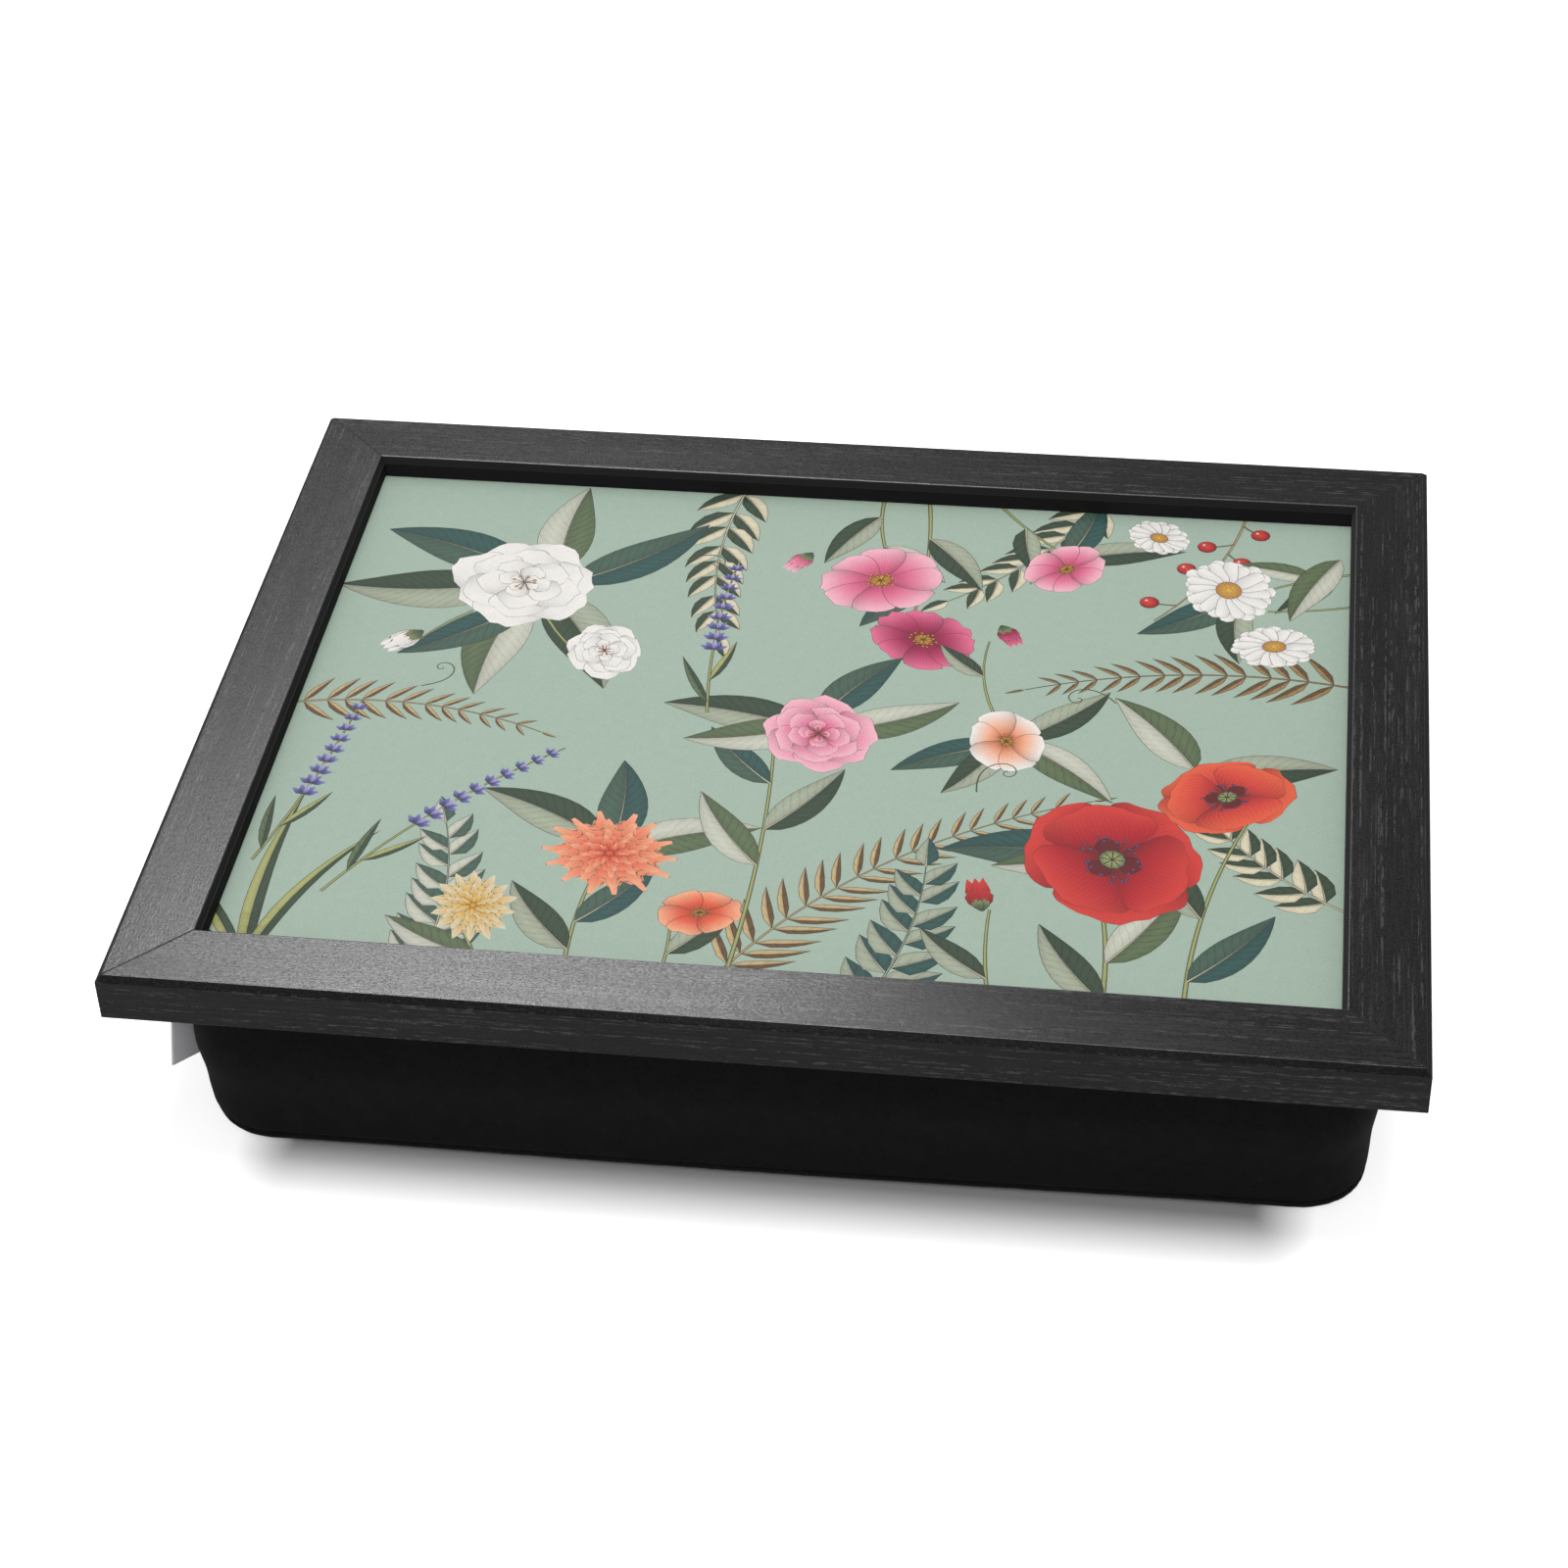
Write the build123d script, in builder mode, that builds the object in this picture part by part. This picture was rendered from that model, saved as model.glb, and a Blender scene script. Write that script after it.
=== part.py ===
from build123d import *
import os

# Lap tray: a mitred, rebated picture-frame moulding round a printed board, with a bead-filled
# cushion held under it by hook-and-loop tapes. All sizes are in millimetres. The origin lies at the
# middle of the face that the cushion rests on, +X runs along the long side and +Y to the back.

# Driving dimensions
tray_length = 440
tray_depth = 342
cushion_height = 65.7

# Moulding of the rails
rail_width = 28.6
rail_height = 18
rebate_width = 6.6
outer_bevel = 2
arris_radius = 0.4
sight_slope_width = 1.1
sight_slope_height = 2.8
sight_step = 0.3
sight_round = 0.5
joint_gap = 0.16
mitre_angle = 45

# What the rebate holds
sheet_thickness = 0.4
board_thickness = 6
board_clearance = 0.8
hook_thickness = 1.6
loop_thickness = 1.5
tape_width = 25
tape_margin = 14
tape_reach_share = 0.8

# Running clearance between soft goods and what lies beside them
soft_gap = 0.3

# Corner nails, V-shaped, two across each mitre
nail_leg = 5.5
nail_thickness = 0.6
nail_height = 10
nail_set = 0.4
nail_spread = 62
nail_place_shares = (0.30, 0.68)

# Framer's points that hold the board
point_length = 14
point_width = 5.5
point_thickness = 0.6
point_bite = 8
point_tip = 3
point_spacing = 112

# Cushion, set back under the tray's edges
cover_thickness = 1.2
side_set_back = 17.75
front_set_back = 10.75
cushion_shift = 2
cushion_turn = 0.6
cushion_corner = 24
flat_cut = 0.5
base_draw = 9.5
base_seam_height = 5
lower_draw = 2.8
top_draw = 8.5
top_seam_drop = 3.6

# Folded side label, sewn into the closing seam of the side band
label_length = 13
label_height = 23.5
label_cloth = 0.3
label_fold = 1
label_seam_back = 26.5
label_seam_height = 31
label_swing = 55
label_lift = 9

# Heights of the stack, from the floor up
loop_z = cushion_height
hook_z = loop_z + loop_thickness
board_z = hook_z + hook_thickness
sheet_z = board_z + board_thickness
lip_z = sheet_z + sheet_thickness
rail_z = cushion_height + soft_gap
rail_top = rail_z + rail_height
rebate_wall = rail_width - rebate_width
board_length = tray_length - 2 * (rebate_wall + board_clearance)
board_depth = tray_depth - 2 * (rebate_wall + board_clearance)
cushion_length = tray_length - 2 * side_set_back
cushion_depth = tray_depth - 2 * front_set_back

# The turn that brings a front piece to each side of the tray
side_turns = {"front": 0, "right": 90, "back": 180, "left": 270}


def side_sizes(name):
    """The length of a side, and the size across the tray from it."""
    if name in ("front", "back"):
        return tray_length, tray_depth
    return tray_depth, tray_length


def moulding_outline(outer):
    """The moulding's section, as points across (from the outer face) and up, with their radii."""
    slope_foot = rail_top - sight_slope_height
    inner = outer + rail_width
    points = (
        (outer, rail_z),
        (outer, rail_top - outer_bevel),
        (outer + outer_bevel, rail_top),
        (inner - sight_step - sight_slope_width, rail_top),
        (inner - sight_step, slope_foot),
        (inner, slope_foot),
        (inner, lip_z),
        (outer + rebate_wall, lip_z),
        (outer + rebate_wall, rail_z),
    )
    radii = (arris_radius, arris_radius, arris_radius, sight_round, 0, 0, 0, 0, 0)
    return points, radii


def mitre_plane(end, length, across):
    """The cut at one end of a front rail, half a joint gap short of the corner's diagonal."""
    away = Vector(end, 0, 0).rotate(Axis.Z, end * mitre_angle)
    corner = Vector(end * length / 2, -across / 2, 0)
    return Plane(origin=corner - away * joint_gap / 2, z_dir=away)


def mitred_rail(length, across):
    """A length of moulding at the front of the tray, mitred at both ends."""
    points, radii = moulding_outline(-across / 2)
    with BuildPart() as rail:
        with BuildSketch(Plane.YZ.offset(-length / 2)):
            with BuildLine():
                FilletPolyline(*points, radius=radii, close=True)
            make_face()
        extrude(amount=length)
        for end in (-1, 1):
            split(bisect_by=mitre_plane(end, length, across), keep=Keep.BOTTOM)
    return rail.part


def cushion_form(inside):
    """The stuffed form, a given distance inside the cover: full at the middle of its height,
    drawn in to the seams, and crowned at the base, where its weight presses it flat."""
    foot = inside if inside else -flat_cut
    head = cushion_height - inside
    low, high = base_seam_height, cushion_height - top_seam_drop
    middle = (low + high) / 2
    levels = (
        (foot, lower_draw + base_draw),
        (foot + (low - foot) / 4, lower_draw + base_draw / 2),
        (low, lower_draw + base_draw / 8),
        ((low + middle) / 2, lower_draw / 2),
        (middle, 0),
        ((middle + high) / 2, top_draw / 8),
        (high, top_draw / 2),
        (head, top_draw),
    )
    centre = Plane((cushion_shift, 0, 0)).rotated((0, 0, cushion_turn))
    with BuildPart() as form:
        for height, draw in levels:
            inset = 2 * (draw + inside)
            with BuildSketch(centre.offset(height)):
                RectangleRounded(cushion_length - inset, cushion_depth - inset, cushion_corner)
        loft()
        split(bisect_by=Plane.XY, keep=Keep.TOP)
    return form.part


# Corner nails
with BuildPart() as corner_v_nails:
    with BuildSketch(Plane.XY.offset(rail_z + nail_set)):
        for share in nail_place_shares:
            place = share * rebate_wall
            with Locations((place - tray_length / 2, place - tray_depth / 2)):
                for side in (-1, 1):
                    Rectangle(nail_leg, nail_thickness, rotation=mitre_angle + side * nail_spread / 2,
                              align=(Align.MIN, Align.CENTER))
    extrude(amount=nail_height)
    mirror(about=Plane.XZ)
    mirror(about=Plane.YZ)
corner_v_nails.part.label = "corner_v_nails"

# Framer's points, driven into the rebate's wall under the board, evenly along each side
with BuildPart() as board_points:
    half = point_width / 2
    shape = ((-half, 0), (half, 0), (half, point_tip - point_length), (0, -point_length),
             (-half, point_tip - point_length))
    for name, turn in side_turns.items():
        length, across = side_sizes(name)
        count = round(length / point_spacing)
        side_plane = Plane.XY.rotated((0, 0, turn)).offset(board_z - point_thickness)
        with BuildSketch(side_plane):
            with Locations((0, rebate_wall + point_length - point_bite - across / 2)):
                with GridLocations(length / count, length, count, 1):
                    Polygon(*shape, align=None)
    extrude(amount=point_thickness)
board_points.part.label = "board_points"

# Rails
rails = {}
for name, turn in side_turns.items():
    with BuildPart() as rail:
        add(mitred_rail(*side_sizes(name)), rotation=(0, 0, turn))
        add(corner_v_nails.part, mode=Mode.SUBTRACT)
        add(board_points.part, mode=Mode.SUBTRACT)
    rail.part.label = f"rail_{name}"
    rails[name] = rail.part

# Board and its printed sheet
with BuildPart() as tray_board:
    with BuildSketch(Plane.XY.offset(board_z)):
        Rectangle(board_length, board_depth)
    extrude(amount=board_thickness)
tray_board.part.label = "tray_board"

with BuildPart() as print_sheet:
    with BuildSketch(Plane.XY.offset(sheet_z)):
        Rectangle(board_length, board_depth)
    extrude(amount=sheet_thickness)
print_sheet.part.label = "print_sheet"


def tape_strips():
    """The four strips of tape in plan, along the edges of the board's underside."""
    across_x = board_length / 2 - tape_margin - tape_width / 2
    across_y = board_depth / 2 - tape_margin - tape_width / 2
    with Locations((0, across_y), (0, -across_y)):
        Rectangle(tape_reach_share * board_length, tape_width)
    with Locations((across_x, 0), (-across_x, 0)):
        Rectangle(tape_width, tape_reach_share * (board_depth - 2 * (tape_margin + tape_width)))


# Hook-and-loop tapes
with BuildPart() as hook_tapes:
    with BuildSketch(Plane.XY.offset(hook_z)):
        tape_strips()
    extrude(amount=hook_thickness)
hook_tapes.part.label = "hook_tapes"

with BuildPart() as loop_tapes:
    with BuildSketch(Plane.XY.offset(loop_z)):
        tape_strips()
    extrude(amount=loop_thickness)
loop_tapes.part.label = "loop_tapes"

# Cushion cover: one shell, cut into its three panels of cloth at the two seams
outer_form = cushion_form(0)
with BuildPart() as cover:
    add(outer_form)
    add(cushion_form(cover_thickness), mode=Mode.SUBTRACT)

base_seam = Plane.XY.offset(base_seam_height)
top_seam = Plane.XY.offset(cushion_height - top_seam_drop)

with BuildPart() as cover_base_panel:
    add(cover.part)
    split(bisect_by=base_seam, keep=Keep.BOTTOM)
cover_base_panel.part.label = "cover_base_panel"

with BuildPart() as cover_side_band:
    add(cover.part)
    split(bisect_by=base_seam, keep=Keep.TOP)
    split(bisect_by=top_seam, keep=Keep.BOTTOM)
cover_side_band.part.label = "cover_side_band"

with BuildPart() as cover_top_panel:
    add(cover.part)
    split(bisect_by=top_seam, keep=Keep.TOP)
cover_top_panel.part.label = "cover_top_panel"

# Bead fill, just inside the cover
with BuildPart() as bead_fill:
    add(cushion_form(cover_thickness + soft_gap))
bead_fill.part.label = "bead_fill"

# Folded label, standing out from the left side near the front corner
with BuildPart() as side_label:
    seam_x = cushion_shift - cushion_length / 2
    seam_y = label_seam_back - cushion_depth / 2
    out = Vector(-1, 0, 0).rotate(Axis.Z, label_swing)
    across = out.cross(Vector(0, 0, 1))
    along = out.rotate(Axis((0, 0, 0), across), label_lift)
    seam = Plane(origin=(seam_x, seam_y, label_seam_height), x_dir=along, z_dir=across.cross(along))
    with BuildSketch(seam):
        SlotOverall(2 * label_length, label_fold)
        SlotOverall(2 * (label_length - label_cloth), label_fold - 2 * label_cloth, mode=Mode.SUBTRACT)
    extrude(amount=label_height / 2, both=True)
    add(outer_form, mode=Mode.SUBTRACT)
side_label.part.label = "side_label"

os.makedirs("parts", exist_ok=True)
export_step(rails["front"], "parts/rail_front.step")
export_step(rails["right"], "parts/rail_right.step")
export_step(rails["back"], "parts/rail_back.step")
export_step(rails["left"], "parts/rail_left.step")
export_step(corner_v_nails.part, "parts/corner_v_nails.step")
export_step(board_points.part, "parts/board_points.step")
export_step(tray_board.part, "parts/tray_board.step")
export_step(print_sheet.part, "parts/print_sheet.step")
export_step(hook_tapes.part, "parts/hook_tapes.step")
export_step(loop_tapes.part, "parts/loop_tapes.step")
export_step(cover_base_panel.part, "parts/cover_base_panel.step")
export_step(cover_side_band.part, "parts/cover_side_band.step")
export_step(cover_top_panel.part, "parts/cover_top_panel.step")
export_step(bead_fill.part, "parts/bead_fill.step")
export_step(side_label.part, "parts/side_label.step")
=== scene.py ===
import math
import random

import bmesh
import bpy
import numpy as np
from mathutils import Matrix, Vector
from mathutils.bvhtree import BVHTree
from mathutils.geometry import delaunay_2d_cdt


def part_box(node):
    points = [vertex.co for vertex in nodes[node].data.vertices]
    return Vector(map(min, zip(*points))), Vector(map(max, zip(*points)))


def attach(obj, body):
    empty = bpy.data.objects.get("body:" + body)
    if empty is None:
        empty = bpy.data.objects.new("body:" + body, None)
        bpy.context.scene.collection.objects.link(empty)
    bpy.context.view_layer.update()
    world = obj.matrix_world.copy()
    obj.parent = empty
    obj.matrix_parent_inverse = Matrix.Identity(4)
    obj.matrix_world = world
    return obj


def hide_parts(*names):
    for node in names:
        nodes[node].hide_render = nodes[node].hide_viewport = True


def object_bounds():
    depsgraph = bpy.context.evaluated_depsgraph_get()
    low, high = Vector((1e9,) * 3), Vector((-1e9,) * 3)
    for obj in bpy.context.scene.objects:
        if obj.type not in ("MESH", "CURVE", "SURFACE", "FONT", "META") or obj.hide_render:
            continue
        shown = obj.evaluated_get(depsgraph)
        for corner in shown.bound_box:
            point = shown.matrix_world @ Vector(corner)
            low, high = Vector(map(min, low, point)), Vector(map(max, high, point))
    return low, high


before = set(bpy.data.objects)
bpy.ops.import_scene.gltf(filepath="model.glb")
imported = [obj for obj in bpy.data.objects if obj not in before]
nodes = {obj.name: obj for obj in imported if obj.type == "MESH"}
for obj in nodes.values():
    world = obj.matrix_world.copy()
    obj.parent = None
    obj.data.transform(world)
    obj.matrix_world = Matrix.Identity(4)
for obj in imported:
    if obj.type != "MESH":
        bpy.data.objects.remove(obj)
cad_low, cad_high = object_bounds()

# Lengths are in metres, but those of the print's artwork in millimetres
mm = 0.001
weld = 0.001 * mm

# Camera: where it stands, which way it looks, its roll, and its focal length in the picture's pixels
camera_place = (0.147011, -1.010743, 0.874521)
camera_azimuth = 8.9503
camera_elevation = 39.0121
camera_roll = -2.0773
picture_pixels = 1600
focal_pixels = 3640.937
sensor_mm = 36.0

# Light: the lamps, their power in watts, and the world's strength in front and behind
lamps = {
    "softbox": {"azimuth": -20.8, "elevation": 48, "distance": 2.6, "size": (0.76, 0.42), "power": 35},
    "edge_light": {"azimuth": -132, "elevation": 74, "distance": 2.6, "size": (0.9, 0.9), "power": 170},
    "top_light": {"azimuth": 4, "elevation": 86, "distance": 2.4, "size": (1.15, 1.15), "power": 26},
}
world_front = 0.37
world_back = 0.57

# Floor: what it adds to its own light, and how far from the cushion that takes to come up; held back near the
# cushion, it paints a contact shadow
floor_colour = 0.92
floor_glow = 0.72
mirrored_glow = 0.25
shadow_reach = 29 * mm
shadow_ends = 34 * mm
end_steepness = 1.4
floor_clear = 0.1 * mm
floor_half = 12.0

# The moulding's edges: its bevel and arris outside, and its sight edge, set back and rounded
outer_bevel = 2 * mm
arris_height = 0.4 * mm
sight_back = 1.4 * mm
sight_round = 0.5 * mm

# How far from a place on the moulding its dark joint, its wear and painted highlights, and its painted shade
# are full, and how far from there they are gone
mitre_band = (0.2 * mm, 0.5 * mm)
arris_band = (0.1 * mm, 0.3 * mm)
arris_depth = (0.6 * mm, 1.0 * mm)
sight_shift = 0.1 * mm
sight_band = (0.2 * mm, 0.35 * mm)
sight_full = 0.35 * mm
lip_blend = 0.15 * mm
bevel_band = (outer_bevel - 0.4 * mm, outer_bevel - 0.1 * mm)
bevel_blend = 0.2 * mm

# Wood-grain foil: each pattern's waves or cells in a metre across and along the grain, the detail of
# its noise, and the levels between which it comes up or fades
streak_grain = ((1400.0, 55.0), 1.0)
streak_levels = (0.52, 0.60)
band_grain = ((110.0, 6.0), 2.0)
band_levels = (0.4, 0.6, 0.35)
line_grain = ((1400.0, 14.0), 1.0, 0.57, 0.62)
break_grain = ((900.0, 190.0), 2.0, 0.46, 0.58)
# The grain that breaks the outer arrises' wear and painted highlight into dots
wear_highlight_grain = ((900.0, 300.0), 1.0, 0.60, 0.66)
dash_grain = ((1500.0, 480.0), 0.0)
dash_streaks = 0.5
large_pores = ((1600.0, 600.0), 0.22, 0.4)
small_pores = ((2300.0, 900.0), 0.16, 0.3)

# Its tones, its roughness with the levels that it follows, and its relief
foil_ground = (0.0008, 0.0008, 0.0009, 1.0)
foil_ridge = (0.0135, 0.0135, 0.014, 1.0)
foil_line = (0.06, 0.06, 0.061, 1.0)
# The dark tone of pits and mitre joints, and also the painted shade on the lip and the outer bevel
foil_dark = 0.0012
# The lighter tone of the outer arrises, partly wear and partly a painted highlight, and the painted highlight
# along the sight edge's round
foil_wear_highlight_tone = 0.045
foil_rough = (0.3, 0.7, 0.25, 0.29)
fine_rough = ((1700.0, 900.0), 1.0, 0.35, 0.65, -0.025, 0.025)
foil_dull = {"pit": 0.1, "mitre": 0.6, "lip": 0.6, "bevel": 0.75}
foil_bump = 0.4
foil_relief = 0.05 * mm
foil_ior = 1.285

# Cloth and ribbon: waves in a metre, levels, and tones
thread_waves = 1700.0
thread_levels = (0.35, 0.65)
slub_waves = 160.0
slub_levels = (0.4, 0.7, 0.0, 0.35)
cloth_dark = (0.005, 0.005, 0.0053, 1.0)
cloth_light = (0.009, 0.009, 0.0095, 1.0)
cloth_slub = (0.013, 0.013, 0.0135, 1.0)
ribbon_waves = (2600.0, 2600.0, 900.0)
ribbon_levels = (0.3, 0.7)
ribbon_shade_waves = 90.0
ribbon_shade_levels = (0.45, 0.75, 0.0, 0.4)
ribbon_dark = (0.90, 0.90, 0.93, 1.0)
ribbon_light = (0.97, 0.97, 0.98, 1.0)
ribbon_shade = (0.72, 0.74, 0.80, 1.0)


def new_material(name):
    """An empty material, its node tree and its shader."""
    material = bpy.data.materials.new(name)
    material.use_nodes = True
    tree = material.node_tree
    return material, tree, tree.nodes["Principled BSDF"]


def set_inputs(tree, made, inputs):
    """Links or sets a node's inputs."""
    for socket, value in inputs.items():
        if isinstance(value, bpy.types.NodeSocket):
            tree.links.new(value, made.inputs[socket])
        else:
            made.inputs[socket].default_value = value


def add_node(tree, kind, inputs=None, **settings):
    """A shader node with its settings, and its inputs linked or set."""
    made = tree.nodes.new(kind)
    for key, value in settings.items():
        setattr(made, key, value)
    set_inputs(tree, made, inputs or {})
    return made


def math_node(tree, operation, first, second=0.0, clamp=False):
    """The result of a Math node."""
    made = add_node(tree, "ShaderNodeMath", {0: first, 1: second}, operation=operation, use_clamp=clamp)
    return made.outputs[0]


def product(tree, first, second):
    return math_node(tree, "MULTIPLY", first, second)


def apart(tree, first, second):
    """How far apart two values are."""
    return math_node(tree, "ABSOLUTE", math_node(tree, "SUBTRACT", first, second))


def largest(tree, first, *others):
    """The largest of several values."""
    for other in others:
        first = math_node(tree, "MAXIMUM", first, other)
    return first


def own_place(tree):
    """The object's own coordinates, in metres."""
    return add_node(tree, "ShaderNodeTexCoord").outputs["Object"]


def parts(tree, vector):
    """A vector's parts along X, Y and Z."""
    return add_node(tree, "ShaderNodeSeparateXYZ", {0: vector}).outputs


def place_in(tree, scale):
    """The object's own coordinates, scaled on each axis."""
    return add_node(tree, "ShaderNodeMapping", {"Vector": own_place(tree), "Scale": scale}).outputs["Vector"]


def noise(tree, vector, scale, detail=2.0, roughness=0.5):
    """The height of a noise pattern."""
    inputs = {"Vector": vector, "Scale": scale, "Detail": detail, "Roughness": roughness}
    return add_node(tree, "ShaderNodeTexNoise", inputs).outputs["Fac"]


def ramp(tree, value, low, high, from_value=0.0, to_value=1.0):
    """A value moved from one range to another, held at its ends."""
    inputs = {"Value": value, "From Min": low, "From Max": high, "To Min": from_value, "To Max": to_value}
    return add_node(tree, "ShaderNodeMapRange", inputs, clamp=True).outputs["Result"]


def mix_colour(tree, factor, first, second, blend="MIX"):
    """Two colours, mixed."""
    inputs = {0: factor, 6: first, 7: second}
    return add_node(tree, "ShaderNodeMix", inputs, data_type="RGBA", blend_type=blend).outputs[2]


def bump(tree, shader, height, strength, distance):
    """Raises the surface's shading by a height."""
    made = add_node(tree, "ShaderNodeBump", {"Height": height, "Strength": strength, "Distance": distance})
    tree.links.new(made.outputs["Normal"], shader.inputs["Normal"])


def grey(level):
    return (level, level, level, 1.0)


def wood_foil(name, along):
    """Black wood-grain foil, its grain along X (0) or Y (1): dull pores, pale broken lines of grain, a
    dull lip and bevel painted dark as shade, outer arrises lighter in dots partly from wear and partly
    as painted highlights, and a painted highlight along the round of the sight edge."""
    material, tree, shader = new_material(name)

    def stretched(waves):
        scale = [waves[0]] * 3
        scale[along] = waves[1]
        return place_in(tree, scale)

    def grain(waves, detail, *levels):
        height = noise(tree, stretched(waves), 1.0, detail)
        return ramp(tree, height, *levels) if levels else height

    def pores(cells, full, gone):
        made = add_node(tree, "ShaderNodeTexVoronoi", {"Vector": stretched(cells), "Scale": 1.0})
        return ramp(tree, made.outputs["Distance"], full, gone, 1.0, 0.0)

    streak, band = grain(*streak_grain), grain(*band_grain)
    pit = largest(tree, pores(*large_pores), pores(*small_pores))
    ridge = product(tree, ramp(tree, streak, *streak_levels), ramp(tree, band, *band_levels))
    line = product(tree, grain(*line_grain), grain(*break_grain))
    mitre, arris, sight, lip, bevel = foil_places(tree)
    # Painted highlight: the round of the sight edge is made lighter all along, and the outer arrises in dots
    # that also stand for wear
    wear_highlight_mask = largest(tree, product(tree, arris, grain(*wear_highlight_grain)), sight)
    base = mix_colour(tree, ridge, foil_ground, foil_ridge)
    base = mix_colour(tree, line, base, foil_line)
    # Painted shade: the lip below the sight edge and the outer bevel take the dark tone, as the pits and
    # mitre joints do in the foil itself
    base = mix_colour(tree, largest(tree, pit, mitre, lip, bevel), base, grey(foil_dark))
    base = mix_colour(tree, wear_highlight_mask, base, grey(foil_wear_highlight_tone))
    places = {"pit": pit, "mitre": mitre, "lip": lip}
    if along:
        places["bevel"] = bevel
    dull = largest(tree, *(product(tree, place, foil_dull[key]) for key, place in places.items()))
    rough = math_node(tree, "ADD", ramp(tree, band, *foil_rough), grain(*fine_rough))
    rough = math_node(tree, "ADD", rough, dull)
    dashes = math_node(tree, "ADD", grain(*dash_grain), product(tree, streak, dash_streaks))
    bump(tree, shader, dashes, foil_bump, foil_relief)
    set_inputs(tree, shader, {"Base Color": base, "Roughness": rough, "IOR": foil_ior})
    return material


def foil_places(tree):
    """Where on the moulding a place lies, each from 0 to 1: on a mitre's joint, on an outer arris, on
    the round of the sight edge, on the lip below it, and on the outer bevel."""
    x, y, z = parts(tree, own_place(tree))
    from_side = math_node(tree, "SUBTRACT", cad_high.x, math_node(tree, "ABSOLUTE", x))
    from_end = math_node(tree, "SUBTRACT", cad_high.y, math_node(tree, "ABSOLUTE", y))
    outside = math_node(tree, "MINIMUM", from_side, from_end)
    front_low, front_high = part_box("rail_front")
    bottom, top = front_low.z, front_high.z
    bevel_foot = top - outer_bevel
    sight_at = front_high.y - front_low.y - sight_back

    def near(value, at, band):
        return ramp(tree, apart(tree, value, at), *band, 1.0, 0.0)

    mitre = near(from_side, from_end, mitre_band)
    arris = largest(tree, near(z, bottom + arris_height, arris_band), near(z, bevel_foot, arris_band))
    arris = product(tree, arris, ramp(tree, outside, *arris_depth, 1.0, 0.0))
    sight = near(outside, sight_at - sight_shift, sight_band)
    sight = product(tree, sight, ramp(tree, z, top - sight_round, top - sight_full))
    lip = ramp(tree, outside, sight_at, sight_at + lip_blend)
    bevel = ramp(tree, outside, *bevel_band, 1.0, 0.0)
    bevel = product(tree, bevel, ramp(tree, z, bevel_foot, bevel_foot + bevel_blend))
    return mitre, arris, sight, lip, bevel


def cover_cloth():
    """Black woven polyester."""
    material, tree, shader = new_material("cover_cloth")
    threads = noise(tree, own_place(tree), thread_waves)
    slubs = noise(tree, own_place(tree), slub_waves)
    base = mix_colour(tree, ramp(tree, threads, *thread_levels), cloth_dark, cloth_light)
    base = mix_colour(tree, ramp(tree, slubs, *slub_levels), base, cloth_slub)
    bump(tree, shader, threads, 0.35, 0.3 * mm)
    set_inputs(tree, shader, {"Base Color": base, "Roughness": 0.95, "Specular IOR Level": 0.12,
                              "Sheen Weight": 0.02, "Sheen Roughness": 0.5})
    return material


def label_ribbon():
    """White woven ribbon, bare."""
    material, tree, shader = new_material("label_ribbon")
    threads = noise(tree, place_in(tree, ribbon_waves), 1.0, 1.0)
    shade = noise(tree, own_place(tree), ribbon_shade_waves)
    base = mix_colour(tree, ramp(tree, threads, *ribbon_levels), ribbon_dark, ribbon_light)
    base = mix_colour(tree, ramp(tree, shade, *ribbon_shade_levels), base, ribbon_shade)
    bump(tree, shader, threads, 0.4, 0.2 * mm)
    set_inputs(tree, shader, {"Base Color": base, "Roughness": 0.7})
    return material


def speckled(name, dark, light, per_m, roughness, metallic=0.0, depth=0.1 * mm):
    """A plain material of fine grains, such as fibreboard, or hooks and loops."""
    material, tree, shader = new_material(name)
    grains = noise(tree, place_in(tree, per_m), 1.0, 3.0, 0.65)
    base = mix_colour(tree, ramp(tree, grains, 0.3, 0.7), (*dark, 1), (*light, 1))
    bump(tree, shader, grains, 0.5, depth)
    set_inputs(tree, shader, {"Base Color": base, "Roughness": roughness, "Metallic": metallic})
    return material


def dress(material, *names):
    """Puts a material on CAD nodes."""
    for name in names:
        slots = nodes[name].data.materials
        slots.clear()
        slots.append(material)


def link(name, data):
    """A new object of the scene, holding a mesh, a lamp or a camera."""
    made = bpy.data.objects.new(name, data)
    bpy.context.scene.collection.objects.link(made)
    return made


# The cushion

voxel = 5 * mm
cloth_frames = 20
cloth_pressure = 4.0
swell_share = 0.15
swell_cap = 0.8 * mm
held_height = 15 * mm
side_full = 1.4 * mm
long_bow = 2.6 * mm
bow_share = 0.45
base_full = 5.5 * mm
base_fade = 2.5 * mm
corner_full = 2 * mm
base_corner_full = 7 * mm
corner_sharpness = 8
right_corner_full = 15 * mm
right_corner_fade = 3.6 * mm
cushion_clear = 0.3 * mm
base_seam = 5 * mm
top_seam_drop = 3.6 * mm
seam_half = 1.3 * mm
seam_depth = 0.7 * mm
look_ahead = 3
tiny = 1e-9


def places_of(piece):
    return np.array([v.co for v in piece.data.vertices])


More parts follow.
